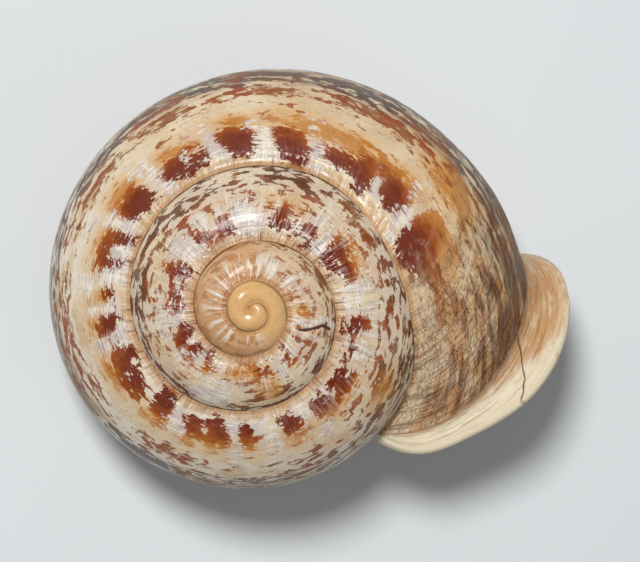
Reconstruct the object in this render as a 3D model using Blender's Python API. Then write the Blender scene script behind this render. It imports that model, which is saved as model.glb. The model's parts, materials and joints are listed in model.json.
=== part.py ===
"""Milk snail shell: one right-handed coiled shell that lies on its base, spire up.

The shell is one closed solid: a skin that coils about the axis, the hollow of the whorls
inside it, and a lip that curls back round the mouth.
Growth is measured in turns. Turn 0 is where the last whorl starts, at the front, and
the shell grows clockwise as seen from above the spire.
"""
import math

import bmesh
import bpy
import numpy as np
from mathutils import Matrix, Vector

MM = 0.001

# Growth, as (turn, value) pairs: the shell's own sizes
TIP_TURN = -3.64
LAST_TURN = 0.883
WHORL_REACH = [                      # mm, from the axis out to the whorl's widest line
    (-3.00, 1.58), (-2.78, 1.63), (-2.50, 2.10), (-2.00, 3.40), (-1.50, 4.95), (-1.00, 7.70),
    (-0.50, 10.75), (0.00, 13.15), (0.25, 15.00), (0.50, 16.60), (0.62, 17.65), (0.75, 19.25),
    (0.90, 20.70)]
SUTURE_RISE = [                      # degrees above the widest line of the whorl before
    (-2.50, 28.0), (-0.50, 28.0), (0.00, 33.0), (0.55, 35.0), (0.73, 39.0), (0.78, 29.0),
    (0.835, 7.0), (0.883, -8.0)]
TIP_LENGTH = 0.53                    # turns over which the first whorl swells from the point
ROUNDNESS = (1.0, 0.86)              # height of a whorl over its width: in the spire, at the mouth
ROUNDNESS_TURNS = (-0.11, 0.72)
TOP_STRETCH = 1.5                    # the top of a whorl runs on this much further to the axis
BASE_STRETCH = 1.3                   # and so does its base
BASE_END = 0.18                      # share of the whorl's half width left open at the axis

# Mouth, from the suture (0) round the whorl's outside to the axis (1)
MOUTH_LAG = [                        # degrees that its edge lies behind the end of the suture
    (0.0, 0.0), (0.1, 14.5), (0.2, 30.0), (0.3, 43.5), (0.4, 54.5), (0.5, 61.5), (0.6, 64.5),
    (0.72, 64.0), (0.85, 60.0), (1.0, 50.0)]
MOUTH_EASE = 0.47                    # turns over which the growth lines swing into that edge
LIP_WIDTH = [                        # mm that the lip curls out beyond the edge
    (0.0, 0.0), (0.05, 0.9), (0.13, 1.3), (0.21, 2.1), (0.37, 2.8), (0.53, 2.9), (0.68, 2.3),
    (0.84, 1.2), (1.0, 0.3)]
LIP_CURL = math.radians(78.0)
LIP_THICKNESS = 1.2 * MM
LIP_SWELL = 0.7                      # the lip is thickest before its edge
LIP_EDGE = 0.55 * MM

# Walls
WALL_THIN = 0.40 * MM
WALL_THICK = 0.70 * MM
PILLAR_SHARE = 0.15                  # radius of the central pillar over the whorl's half width
GLAZE = 0.30 * MM                    # thickening laid on the whorl before
GLAZE_RUN = math.radians(9.0)        # over which it thins out at the mouth
GLAZE_END = 0.25                     # share of the way back over which that run closes up
CORNER = 0.25 * MM                   # rounding of the hollow's corners
NAVEL_RINGS = (0.35, 0.7)
NAVEL_RISE = 0.6 * MM                # the pad that closes the navel, above the lip's foot
SOFT_REACH = 3.0 * MM                # round the axis, below SOFT_BELOW, the surface is evened out
SOFT_BELOW = -15.0 * MM
SOFT_ROUNDS = 10
HOLLOW_START = -1.40
HOLLOW_AIM = math.radians(-42.0)     # the hollow's middle lies this way from each section's centre

# Resting pose: the spire leans, and the ground contact is flat
LEAN = math.radians(14.6)
LEAN_HEADING = math.radians(154.0)   # from +X towards +Y
FLAT_DEPTH = 0.2 * MM

# Fineness of the faces
STEPS = 32                           # rings per turn
TOP_SPANS = 8                        # spans from a suture to the next whorl's
BASE_SPANS = 11                      # spans from there over the base to the axis
PILLAR_SPANS = 4
LIP_RINGS = 5
SECTION_STATIONS = 180               # per turn, in the tables of the coil's sections
MARCH = 48                           # steps of the search from the hollow's middle to its wall
MARCH_FAR = 2.4                      # its reach, in half widths
HALVINGS = 20                        # of the last step
ACROSS = TOP_SPANS + BASE_SPANS

SHELL_COLOUR = (0.62, 0.45, 0.29, 1.0)
SHELL_ROUGHNESS = 0.42


def eased(share):
    """0 to 1 with a soft start and a soft stop."""
    share = np.clip(share, 0.0, 1.0)
    return share * share * (3.0 - 2.0 * share)


def through(pairs, turn):
    """Smooth curve through (turn, value) pairs, level beyond its ends."""
    at, value = (np.array(column, float) for column in zip(*pairs))
    slope = np.gradient(value, at)
    span = np.clip(np.searchsorted(at, turn) - 1, 0, len(at) - 2)
    width = at[span + 1] - at[span]
    share = np.clip((turn - at[span]) / width, 0.0, 1.0)
    return (value[span] * (1 + 2 * share) * (1 - share) ** 2
            + slope[span] * width * share * (1 - share) ** 2
            + value[span + 1] * share ** 2 * (3 - 2 * share)
            + slope[span + 1] * width * share ** 2 * (share - 1))


def reach_at(turn):
    logs = [(at, math.log(value * MM)) for at, value in WHORL_REACH]
    return np.exp(through(logs, turn)) * eased((turn - TIP_TURN) / TIP_LENGTH)


def rise_at(turn):
    return np.radians(through(SUTURE_RISE, turn))


def roundness_at(turn):
    first, last = ROUNDNESS_TURNS
    return ROUNDNESS[0] + (ROUNDNESS[1] - ROUNDNESS[0]) * eased((turn - first) / (last - first))


def unit(vectors):
    return vectors / np.maximum(np.linalg.norm(vectors, axis=-1, keepdims=True), 1e-12)


class Coil:
    """Half width, height and place of the whorl's section at any turn."""

    END_ANGLE = -math.acos(-(1.0 - BASE_END) / BASE_STRETCH)

    def __init__(self):
        count = int(math.ceil((LAST_TURN - TIP_TURN) * SECTION_STATIONS)) + 1
        self.turn = TIP_TURN + np.arange(count) / SECTION_STATIONS
        self.half = 0.5 * reach_at(self.turn)
        self.tall = self.half * roundness_at(self.turn)
        self.mid = np.zeros(count)
        self.start = np.zeros(count)
        rise = rise_at(self.turn)
        for k in range(count):
            before = k - SECTION_STATIONS
            hang_r = hang_z = 0.0
            if before >= 0:
                hang_r = self.half[before] * (1.0 + math.cos(rise[k]))
                hang_z = self.mid[before] + self.tall[before] * math.sin(rise[k])
            half = max(self.half[k], 1e-9)
            side = half if hang_r > half else half * TOP_STRETCH
            self.start[k] = math.acos(max(-1.0, min(1.0, (hang_r - half) / side)))
            self.mid[k] = hang_z - self.tall[k] * math.sin(self.start[k])

    def look(self, table, turn):
        return np.interp(turn, self.turn, table)

    @staticmethod
    def side(cosine, sine):
        """How far each quarter of the section is stretched sideways."""
        return np.where(cosine >= 0, 1.0, np.where(sine >= 0, TOP_STRETCH, BASE_STRETCH))

    def section(self, turn, angle):
        """(radius, height) on the whorl's outside, angle counted up from its widest line."""
        half = self.look(self.half, turn)
        cosine, sine = np.cos(angle), np.sin(angle)
        return (half * (1 + self.side(cosine, sine) * cosine),
                self.look(self.mid, turn) + self.look(self.tall, turn) * sine)

    def depth(self, turn, radius, height, offset):
        """Rough depth of a point inside the section drawn in by offset, below 0 outside it."""
        half, tall = self.look(self.half, turn), self.look(self.tall, turn)
        out, up = radius - half, height - self.look(self.mid, turn)
        wide = half * self.side(out, up) - offset
        tall = tall - offset
        return (1.0 - np.hypot(out / wide, up / tall)) * np.minimum(wide, tall)

    def skin(self, turn, line):
        """A line runs from 0 at the suture, over TOP_SPANS at the next one, to ACROSS at the axis."""
        start, meet = self.look(self.start, turn), rise_at(turn + 1.0)
        top = start + (meet - start) * line / TOP_SPANS
        base = meet + (self.END_ANGLE - meet) * (line - TOP_SPANS) / BASE_SPANS
        return self.section(turn, np.where(line <= TOP_SPANS, top, base))


def place(turn, radius, height):
    """Points in space. The coil runs clockwise from the front, as seen from above."""
    around = 2 * math.pi * np.asarray(turn)
    return np.stack([-radius * np.sin(around), -radius * np.cos(around),
                     height + 0 * around], axis=-1)


def mouth_lags():
    """How many turns before the end each line across the whorl meets the mouth's edge."""
    return through(MOUTH_LAG, np.arange(ACROSS + 1.0) / ACROSS) / 360.0


def swing(turn):
    """How far the growth lines have swung towards the mouth's edge, 0 to 1."""
    return eased((turn - (LAST_TURN - MOUTH_EASE)) / MOUTH_EASE)


def wall_at(turn):
    return WALL_THIN + (WALL_THICK - WALL_THIN) * eased((turn + 1.5) / 2.0)


def hollow(coil, turn, lags):
    """One ring of the hollow. Its points aim at the skin's lines, then come back over the whorl
    before. Each point lies in its own upright plane through the axis."""
    back = PILLAR_SPANS + BASE_SPANS
    way = np.arange(1, back) / back
    run = GLAZE_RUN / (2 * math.pi)
    lag = run + (lags[-1] - run) * (1 - eased(way * back / (PILLAR_SPANS + 2.0)))
    lag = np.concatenate([lags, lag * eased((1 - way) / GLAZE_END)])
    own = turn - lag * swing(turn)
    before = own - 1.0
    own_aim, before_aim = coil.section(own, HOLLOW_AIM), coil.section(before, HOLLOW_AIM)
    middle = 0.5 * (np.array(own_aim) + np.array(before_aim))
    lines = np.arange(ACROSS + 1.0)
    skin = np.array(coil.skin(own[:ACROSS + 1], lines))
    aim = np.unwrap(np.arctan2(*(skin - middle[:, :ACROSS + 1])[::-1]))
    aim = np.concatenate([aim, aim[-1] + (aim[0] - 2 * math.pi - aim[-1]) * way])
    ray = np.array([np.cos(aim), np.sin(aim)])
    pillar = PILLAR_SHARE * coil.look(coil.half, own)
    far = MARCH_FAR * coil.look(coil.half, own)
    glaze = GLAZE * coil.look(coil.half, own) / coil.look(coil.half, LAST_TURN)
    wall = wall_at(own)

    def room(distance):
        radius, height = middle + ray * distance
        clear = [coil.depth(own, radius, height, wall),
                 -coil.depth(before, radius, height, -glaze), radius - pillar]
        return -CORNER * np.log(sum(np.exp(-np.clip(c / CORNER, -60, 60)) for c in clear))

    near = np.zeros_like(far)
    for step in range(1, MARCH + 1):
        open_so_far = (near >= far * (step - 1.5) / MARCH) & (room(far * step / MARCH) >= 0)
        near = np.where(open_so_far, far * step / MARCH, near)
    low, high = near, near + far / MARCH
    for _ in range(HALVINGS):
        distance = 0.5 * (low + high)
        blocked = room(distance) < 0
        low, high = np.where(blocked, low, distance), np.where(blocked, distance, high)
    return place(own, *(middle + ray * low)), place(own, *middle)


class Net:
    """Points, and the faces between rows of them."""

    def __init__(self):
        self.points = []
        self.faces = []

    def at(self, corners):
        return np.array([self.points[corner] for corner in corners])

    def add(self, points):
        first = len(self.points)
        self.points.extend(tuple(point) for point in np.atleast_2d(points))
        return list(range(first, len(self.points)))

    def face(self, *corners):
        kept = [c for c, after in zip(corners, corners[1:] + corners[:1]) if c != after]
        if len(kept) > 2:
            self.faces.append(kept)

    def strip(self, one, other):
        for a, b, c, d in zip(one, one[1:], other[1:], other):
            self.face(a, b, c, d)

    def fan(self, hub, ring):
        for a, b in zip(ring, ring[1:] + ring[:1]):
            self.face(hub, a, b)


def outer_rows(net, coil, lags):
    """Rows of points on the outside, each sharing its first point with the whorl before."""
    count = int((LAST_TURN - TIP_TURN) * STEPS)
    lines = np.arange(ACROSS + 1.0)
    tip = net.add((0.0, 0.0, 0.0))[0]
    rows = [[tip] * (ACROSS + 1)]
    for k in range(1, count + 1):
        turn = LAST_TURN - (count - k) / STEPS
        points = place(turn - lags * swing(turn), *coil.skin(turn - lags * swing(turn), lines))
        last = ACROSS if k >= count - STEPS else TOP_SPANS
        first = rows[k - STEPS][TOP_SPANS] if k >= STEPS else tip
        rows.append([first] + net.add(points[1:last + 1]))
    for before, after in zip(rows, rows[1:]):
        net.strip(before[:len(after)], after[:len(before)])
    return rows


def lip_rings(net, rows, inner):
    """The lip's outer and inner rings, curled out from the last row of the skin."""
    edge, before = net.at(rows[-1]), net.at(rows[-2])
    along = unit(np.gradient(edge, axis=0))
    forward = edge - before
    forward = unit(forward - along * np.sum(forward * along, axis=1, keepdims=True))
    outward = unit(np.cross(along, forward))
    outward *= np.sign(np.sum(outward[ACROSS // 2] * (edge[ACROSS // 2] - edge[-1])))
    reach = through(LIP_WIDTH, np.arange(ACROSS + 1.0) / ACROSS)[:, None] * MM
    settle = inner - (edge - WALL_THICK * outward)
    outer, inside = [], []
    for ring in range(1, LIP_RINGS + 1):
        share = ring / LIP_RINGS
        curl = LIP_CURL * share
        outer.append(edge + reach * (math.sin(curl) * forward + (1 - math.cos(curl)) * outward))
        facing = math.cos(curl) * outward - math.sin(curl) * forward
        swell = math.sin(math.pi * LIP_SWELL * share)
        thick = WALL_THICK + (LIP_THICKNESS - WALL_THICK) * swell if share < 1 else LIP_EDGE
        inside.append(outer[-1] - thick * facing + (1 - share) * settle)
    return outer, inside


def add_hollow(net, coil, lags):
    """The hollow's surface up to the mouth; its last ring comes back."""
    ring = None
    for k in range(int(round((LAST_TURN - HOLLOW_START) * STEPS)), -1, -1):
        points, middle = hollow(coil, LAST_TURN - k / STEPS, lags)
        new = net.add(points)
        if ring is None:
            net.fan(net.add(middle.mean(axis=0))[0], new)
        else:
            net.strip(ring + ring[:1], new + new[:1])
        ring = new
    return ring


def add_lip(net, rows, ring):
    """The lip from the skin's last row round its edge to the hollow's last ring."""
    mouth = net.at(ring)
    outer, inside = lip_rings(net, rows, mouth[:ACROSS + 1])
    last, foot_line = rows[-1], []
    for points in outer:
        row = last[:1] + net.add(points[1:])
        net.strip(last, row)
        last = row
        foot_line.append(row[-1])
    base = rows[len(rows) - 1 - STEPS]
    foot, head = net.at([last[-1], base[ACROSS]])
    pillar = net.add([foot + (head - foot) * s / PILLAR_SPANS for s in range(1, PILLAR_SPANS)])
    rim = last + pillar + base[ACROSS:TOP_SPANS:-1]
    back, mouth_back = net.at(rim[ACROSS + 1:]), mouth[ACROSS + 1:]
    for k, points in enumerate(inside, 1):
        merged = mouth_back + (back - mouth_back) * k / (LIP_RINGS + 1)
        new = net.add(np.concatenate([points, merged]))
        net.strip(ring + ring[:1], new + new[:1])
        ring = new
    net.strip(ring + ring[:1], rim + rim[:1])
    return foot_line + pillar


def add_navel(net, rows, closing):
    """The pad that closes the navel, from the base's end over one turn and the lip's foot."""
    loop = [row[ACROSS] for row in rows[len(rows) - 1 - STEPS:]] + closing
    edge = net.at(loop)
    hub = np.array([0.0, 0.0, edge[:, 2].min() + NAVEL_RISE])
    for share in NAVEL_RINGS:
        ring = edge + (hub - edge) * np.array([share, share, math.sin(share * math.pi / 2)])
        new = net.add(ring)
        net.strip(loop + loop[:1], new + new[:1])
        loop = new
    net.fan(net.add(hub)[0], loop)


def rest(bm):
    """Leans the shell, flattens what it rests on and puts the origin under its middle."""
    tilt_axis = Vector((-math.sin(LEAN_HEADING), math.cos(LEAN_HEADING), 0.0))
    bm.transform(Matrix.Rotation(LEAN, 4, tilt_axis))
    ground = min(v.co.z for v in bm.verts) + FLAT_DEPTH
    bmesh.ops.bisect_plane(bm, geom=bm.verts[:] + bm.edges[:] + bm.faces[:], dist=0.001 * MM,
                           plane_co=(0.0, 0.0, ground), plane_no=(0.0, 0.0, 1.0))
    for v in bm.verts:
        v.co.z = max(v.co.z, ground)
    corners = np.array([v.co for v in bm.verts])
    middle = 0.5 * (corners.min(axis=0) + corners.max(axis=0))
    bm.transform(Matrix.Translation((-middle[0], -middle[1], -ground)))


def shell_material():
    material = bpy.data.materials.new("shell")
    material.use_nodes = True
    surface = material.node_tree.nodes["Principled BSDF"]
    surface.inputs["Base Color"].default_value = SHELL_COLOUR
    surface.inputs["Roughness"].default_value = SHELL_ROUGHNESS
    return material


def main():
    for old in list(bpy.data.objects):
        bpy.data.objects.remove(old, do_unlink=True)
    coil, lags, net = Coil(), mouth_lags(), Net()
    rows = outer_rows(net, coil, lags)
    closing = add_lip(net, rows, add_hollow(net, coil, lags))
    add_navel(net, rows, closing)
    mesh = bpy.data.meshes.new("shell")
    mesh.from_pydata(net.points, [], net.faces)
    bm = bmesh.new()
    bm.from_mesh(mesh)
    near = [v for v in bm.verts if math.hypot(v.co.x, v.co.y) < SOFT_REACH and v.co.z < SOFT_BELOW]
    for _ in range(SOFT_ROUNDS):
        bmesh.ops.smooth_vert(bm, verts=near, factor=0.5, use_axis_x=True, use_axis_y=True,
                              use_axis_z=True)
    bmesh.ops.recalc_face_normals(bm, faces=bm.faces)
    bmesh.ops.triangulate(bm, faces=bm.faces)
    rest(bm)
    bmesh.ops.triangulate(bm, faces=bm.faces)
    bm.to_mesh(mesh)
    bm.free()
    mesh.shade_smooth()
    mesh.materials.append(shell_material())
    shell = bpy.data.objects.new("shell", mesh)
    group = bpy.data.collections.new("milk_snail_shell")
    bpy.context.scene.collection.children.link(group)
    group.objects.link(shell)


main()
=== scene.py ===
"""Milk snail shell: the coiled shell with its markings, its floor, lights and camera."""
import json
import math
from types import SimpleNamespace

import bmesh
import bpy
import numpy as np
from mathutils import Matrix, Vector

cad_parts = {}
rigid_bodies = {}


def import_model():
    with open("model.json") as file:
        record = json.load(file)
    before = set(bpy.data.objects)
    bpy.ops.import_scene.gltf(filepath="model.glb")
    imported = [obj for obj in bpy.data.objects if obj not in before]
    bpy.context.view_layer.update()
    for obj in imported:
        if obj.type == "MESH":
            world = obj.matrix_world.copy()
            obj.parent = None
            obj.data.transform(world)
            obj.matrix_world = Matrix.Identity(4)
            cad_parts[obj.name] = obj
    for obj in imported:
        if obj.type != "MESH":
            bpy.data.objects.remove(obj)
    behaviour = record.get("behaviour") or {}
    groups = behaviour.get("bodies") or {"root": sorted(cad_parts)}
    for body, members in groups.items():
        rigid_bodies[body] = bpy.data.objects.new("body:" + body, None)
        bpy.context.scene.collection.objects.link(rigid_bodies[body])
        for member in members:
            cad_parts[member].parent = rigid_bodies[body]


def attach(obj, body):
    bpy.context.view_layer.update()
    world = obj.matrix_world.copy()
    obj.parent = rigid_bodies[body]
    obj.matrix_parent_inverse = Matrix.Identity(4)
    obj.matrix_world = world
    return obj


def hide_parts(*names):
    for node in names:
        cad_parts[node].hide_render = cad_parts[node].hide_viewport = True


bl_info = {
    "name": "Milk snail shell",
    "version": (1, 0, 0),
    "blender": (4, 5, 0),
    "location": "View3D > Sidebar > Snail Shell",
    "description": "Builds a coiled snail shell with its markings, on a pale floor in soft light",
    "category": "Add Mesh",
}

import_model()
MM = 0.001

# Growth, in turns from the start of the last whorl
TIP_TURN = -3.64
LAST_TURN = 0.883
WHORL_REACH = [  # mm, from the axis out to the whorl's widest line
    (-3.00, 1.58), (-2.78, 1.63), (-2.50, 2.10), (-2.00, 3.40), (-1.50, 4.95), (-1.00, 7.70),
    (-0.50, 10.75), (0.00, 13.15), (0.25, 15.00), (0.50, 16.60), (0.62, 17.65), (0.75, 19.25),
    (0.90, 20.70)]
SUTURE_RISE = [  # degrees above the widest line of the whorl before
    (-2.50, 28.0), (-0.50, 28.0), (0.00, 33.0), (0.55, 35.0), (0.73, 39.0), (0.78, 29.0),
    (0.835, 7.0), (0.883, -8.0)]
TIP_LENGTH = 0.53  # turns over which the first whorl swells from the point
ROUNDNESS = (1.0, 0.86)  # height of a whorl over its width: in the spire, at the mouth
ROUNDNESS_TURNS = (-0.11, 0.72)
TOP_STRETCH = 1.5  # the top of a whorl runs on this much further to the axis
BASE_STRETCH = 1.3  # and so does its base
BASE_END = 0.18  # share of the whorl's half width left open at the axis

# Mouth, from the suture (0) round the whorl's outside to the axis (1)
MOUTH_LAG = [  # degrees that its edge lies behind the end of the suture
    (0.0, 0.0), (0.1, 14.5), (0.2, 30.0), (0.3, 43.5), (0.4, 54.5), (0.5, 61.5), (0.6, 64.5),
    (0.72, 64.0), (0.85, 60.0), (1.0, 50.0)]
MOUTH_EASE = 0.47  # turns over which the growth lines swing into that edge
LIP_WIDTH = [  # mm that the lip curls out beyond the edge
    (0.0, 0.0), (0.05, 0.9), (0.13, 1.3), (0.21, 2.1), (0.37, 2.8), (0.53, 2.9), (0.68, 2.3),
    (0.84, 1.2), (1.0, 0.3)]
LIP_CURL = math.radians(78.0)
LIP_THICKNESS = 1.2 * MM
LIP_SWELL = 0.7  # the lip is thickest before its edge
LIP_TAPER = 0.8  # share of its width from which it thins to the edge
LIP_EDGE = 0.55 * MM
LIP_BEHIND = 10  # rows back from the mouth that show which way it grows

# Walls
WALL_THIN = 0.40 * MM
WALL_THICK = 0.70 * MM
WALL_START, WALL_RUN = -1.5, 2.0  # turn from which the wall thickens, and over how many
PILLAR_SHARE = 0.15  # radius of the central pillar over the whorl's half width
GLAZE = 0.30 * MM  # thickening laid on the whorl before
GLAZE_RUN = math.radians(9.0)  # over which it thins out at the mouth
GLAZE_END = 0.25  # share of the way back over which that run closes up
CORNER = 0.25 * MM  # rounding of the hollow's corners
NAVEL_RINGS = (0.12, 0.24, 0.36, 0.48, 0.6, 0.72, 0.84)
NAVEL_RISE = 0.6 * MM  # the pad that closes the navel, above the lip's foot
SOFT_REACH = 3.2 * MM  # round the axis, below SOFT_BELOW, the surface is evened out
SOFT_BELOW = -15.0 * MM
SOFT_ROUNDS = 80
HOLLOW_START = -1.40
HOLLOW_AIM = math.radians(-42.0)  # the hollow's middle lies this way from each section's centre

# Relief: lines of bumps as (mm or lines along, bumps across, seed, share of the height)
WRINKLES = [(0.9, 2.5, 3, 1.0), (1.6, 14.0, 5, 0.6)]
FOLDS = [(2.1, 1.6, 7, 1.4)]
BEADS = [(0.8, 3.0, 11, 0.7)]
LIP_LINES = [(2.6, 5.0, 13, 1.0), (7.0, 12.0, 17, 0.8)]
CALM = 0.25  # share of the wrinkles' height before the last quarter
LATE_START, LATE_RUN = 0.55, 0.2  # turns over which the last quarter's wrinkles rise
RIM_WIDTH = 0.045  # of the way across
FOOT_WIDTH = 0.02  # of the way across, level beside the suture
SMOOTH_TILL, SMOOTH_RUN = -2.1, 0.6  # turns: the first whorls have no relief
SCAR_HEIGHT, SCAR_WIDTH = 0.03 * MM, 0.24  # the width in mm, from its middle
CRACK_DEPTH, CRACK_WIDTH = 0.14 * MM, 0.13  # likewise

# Resting pose, as the CAD shell lies
LEAN = math.radians(14.6)
LEAN_HEADING = math.radians(154.0)  # from +X towards +Y
SHIFT = Vector((-0.0061604, -0.0005702, 0.0193465))

# Fineness of the faces
STEPS = 320  # rings per turn
TOP_SPANS = 36  # spans from a suture to the next whorl's
BASE_SPANS = 44  # spans from there over the base to the axis
PILLAR_SPANS = 12
LIP_RINGS = 12
HOLLOW_STRIDES = [(0, 1), (24, 4), (300, 12)]  # rows behind the mouth, and rows to one ring there
SECTION_STATIONS = 360  # per turn, in the tables of the coil's sections
MARCH = 48  # steps of the search from the hollow's middle to its wall
MARCH_FAR = 2.4  # its reach, in half widths
HALVINGS = 18  # of the last step
ACROSS = TOP_SPANS + BASE_SPANS
GROWN_ROUNDS = 40  # of the search for a growth line's start
ALONG_AT = 1.5  # half widths from the axis, where the length along the spiral is measured
GIRTH_FACTOR = 1.1  # length round a section over its half width times the angle
SPAN = 0.75 / TOP_SPANS  # of the reach, roughly, from one line of the top to the next

OUTSIDE, LIP, INSIDE, PAD = 0.0, 1.0, 2.0, 3.0  # what a corner of the mesh belongs to


def eased(share):
    """0 to 1 with a soft start and a soft stop."""
    share = np.clip(share, 0.0, 1.0)
    return share * share * (3.0 - 2.0 * share)


def through(pairs, turn):
    """Smooth curve through (turn, value) pairs, level beyond its ends."""
    at, value = (np.array(column, float) for column in zip(*pairs))
    slope = np.gradient(value, at)
    span = np.clip(np.searchsorted(at, turn) - 1, 0, len(at) - 2)
    width = at[span + 1] - at[span]
    share = np.clip((turn - at[span]) / width, 0.0, 1.0)
    return (value[span] * (1 + 2 * share) * (1 - share) ** 2
            + slope[span] * width * share * (1 - share) ** 2
            + value[span + 1] * share ** 2 * (3 - 2 * share)
            + slope[span + 1] * width * share ** 2 * (share - 1))


def reach_at(turn):
    logs = [(at, math.log(value * MM)) for at, value in WHORL_REACH]
    return np.exp(through(logs, turn)) * eased((turn - TIP_TURN) / TIP_LENGTH)


def rise_at(turn):
    return np.radians(through(SUTURE_RISE, turn))


def roundness_at(turn):
    first, last = ROUNDNESS_TURNS
    return ROUNDNESS[0] + (ROUNDNESS[1] - ROUNDNESS[0]) * eased((turn - first) / (last - first))


def unit(vectors):
    return vectors / np.maximum(np.linalg.norm(vectors, axis=-1, keepdims=True), 1e-12)


class Coil:
    """Half width, height and place of the whorl's section at any turn."""

    END_ANGLE = -math.acos(-(1.0 - BASE_END) / BASE_STRETCH)

    def __init__(self):
        count = int(math.ceil((LAST_TURN - TIP_TURN) * SECTION_STATIONS)) + 1
        self.turn = TIP_TURN + np.arange(count) / SECTION_STATIONS
        self.half = 0.5 * reach_at(self.turn)
        self.tall = self.half * roundness_at(self.turn)
        self.mid = np.zeros(count)
        self.start = np.zeros(count)
        rise = rise_at(self.turn)
        for k in range(count):
            before = k - SECTION_STATIONS
            hang_r = hang_z = 0.0
            if before >= 0:
                hang_r = self.half[before] * (1.0 + math.cos(rise[k]))
                hang_z = self.mid[before] + self.tall[before] * math.sin(rise[k])
            half = max(self.half[k], 1e-9)
            side = half if hang_r > half else half * TOP_STRETCH
            self.start[k] = math.acos(max(-1.0, min(1.0, (hang_r - half) / side)))
            self.mid[k] = hang_z - self.tall[k] * math.sin(self.start[k])
        self.along = np.cumsum(2 * math.pi * ALONG_AT * self.half) / SECTION_STATIONS

    def look(self, table, turn):
        return np.interp(turn, self.turn, table)

    @staticmethod
    def side(cosine, sine):
        """How far each quarter of the section is stretched sideways."""
        return np.where(cosine >= 0, 1.0, np.where(sine >= 0, TOP_STRETCH, BASE_STRETCH))

    def section(self, turn, angle):
        """(radius, height) on the whorl's outside, angle counted up from its widest line."""
        half = self.look(self.half, turn)
        cosine, sine = np.cos(angle), np.sin(angle)
        return (half * (1 + self.side(cosine, sine) * cosine),
                self.look(self.mid, turn) + self.look(self.tall, turn) * sine)

    def depth(self, turn, radius, height, offset):
        """Rough depth of a point inside the section drawn in by offset, below 0 outside it."""
        half, tall = self.look(self.half, turn), self.look(self.tall, turn)
        out, up = radius - half, height - self.look(self.mid, turn)
        wide = half * self.side(out, up) - offset
        tall = tall - offset
        return (1.0 - np.hypot(out / wide, up / tall)) * np.minimum(wide, tall)

    def angle(self, turn, line):
        """A line is 0 at the suture, TOP_SPANS at the next one and ACROSS at the axis."""
        start, meet = self.look(self.start, turn), rise_at(turn + 1.0)
        top = start + (meet - start) * line / TOP_SPANS
        base = meet + (self.END_ANGLE - meet) * (line - TOP_SPANS) / BASE_SPANS
        return np.where(line <= TOP_SPANS, top, base)

    def skin(self, turn, line):
        return self.section(turn, self.angle(turn, line))

    def girth(self, turn, line):
        """Rough length over the whorl's outside, from its suture to a line."""
        start = self.look(self.start, turn)
        return (start - self.angle(turn, line)) * self.look(self.half, turn) * GIRTH_FACTOR

    def across(self, turn, line):
        """Share of the way out: 0 at the suture, 1 at the widest line, 2 at the axis below."""
        angle = self.angle(turn, line)
        radius = self.section(turn, angle)[0]
        widest = 2 * self.look(self.half, turn)
        inner = self.section(turn, self.look(self.start, turn))[0]
        top = (radius - inner) / np.maximum(widest - inner, 1e-9)
        return np.where(angle >= 0, top, 1.0 + (widest - radius) / np.maximum(widest, 1e-9))


def place(turn, radius, height):
    """Points in space. The coil runs clockwise from the front, as seen from above."""
    around = 2 * math.pi * np.asarray(turn)
    return np.stack([-radius * np.sin(around), -radius * np.cos(around),
                     height + 0 * around], axis=-1)


def mouth_lags():
    """How many turns before the end each line across the whorl meets the mouth's edge."""
    return through(MOUTH_LAG, np.arange(ACROSS + 1.0) / ACROSS) / 360.0


def swing(turn):
    """How far the growth lines have swung towards the mouth's edge, 0 to 1."""
    return eased((turn - (LAST_TURN - MOUTH_EASE)) / MOUTH_EASE)


def grown(turn, line):
    """The turn, at the suture, of the growth line that passes through a point."""
    lag = np.interp(line, np.arange(ACROSS + 1.0), mouth_lags())
    start = turn
    for _ in range(GROWN_ROUNDS):
        start = turn + lag * swing(start)
    return start


def wall_at(turn):
    return WALL_THIN + (WALL_THICK - WALL_THIN) * eased((turn - WALL_START) / WALL_RUN)


def hollow(coil, turn, lags):
    """One ring of the hollow, with its middle and the turns that its points belong to."""
    back = PILLAR_SPANS + BASE_SPANS
    way = np.arange(1, back) / back
    run = GLAZE_RUN / (2 * math.pi)
    lag = run + (lags[-1] - run) * (1 - eased(way * back / (PILLAR_SPANS + 2.0)))
    lag = np.concatenate([lags, lag * eased((1 - way) / GLAZE_END)])
    own = turn - lag * swing(turn)
    before = own - 1.0
    own_aim, before_aim = coil.section(own, HOLLOW_AIM), coil.section(before, HOLLOW_AIM)
    middle = 0.5 * (np.array(own_aim) + np.array(before_aim))
    lines = np.arange(ACROSS + 1.0)
    skin = np.array(coil.skin(own[:ACROSS + 1], lines))
    aim = np.unwrap(np.arctan2(*(skin - middle[:, :ACROSS + 1])[::-1]))
    aim = np.concatenate([aim, aim[-1] + (aim[0] - 2 * math.pi - aim[-1]) * way])
    ray = np.array([np.cos(aim), np.sin(aim)])
    pillar = PILLAR_SHARE * coil.look(coil.half, own)
    far = MARCH_FAR * coil.look(coil.half, own)
    glaze = GLAZE * coil.look(coil.half, own) / coil.look(coil.half, LAST_TURN)
    wall = wall_at(own)

    def room(distance):
        radius, height = middle + ray * distance
        clear = [coil.depth(own, radius, height, wall),
                 -coil.depth(before, radius, height, -glaze), radius - pillar]
        return -CORNER * np.log(sum(np.exp(-np.clip(c / CORNER, -60, 60)) for c in clear))

    near = np.zeros_like(far)
    for step in range(1, MARCH + 1):
        open_so_far = (near >= far * (step - 1.5) / MARCH) & (room(far * step / MARCH) >= 0)
        near = np.where(open_so_far, far * step / MARCH, near)
    low, high = near, near + far / MARCH
    for _ in range(HALVINGS):
        distance = 0.5 * (low + high)
        blocked = room(distance) < 0
        low, high = np.where(blocked, low, distance), np.where(blocked, distance, high)
    return place(own, *(middle + ray * low)), place(own, *middle), own


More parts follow.
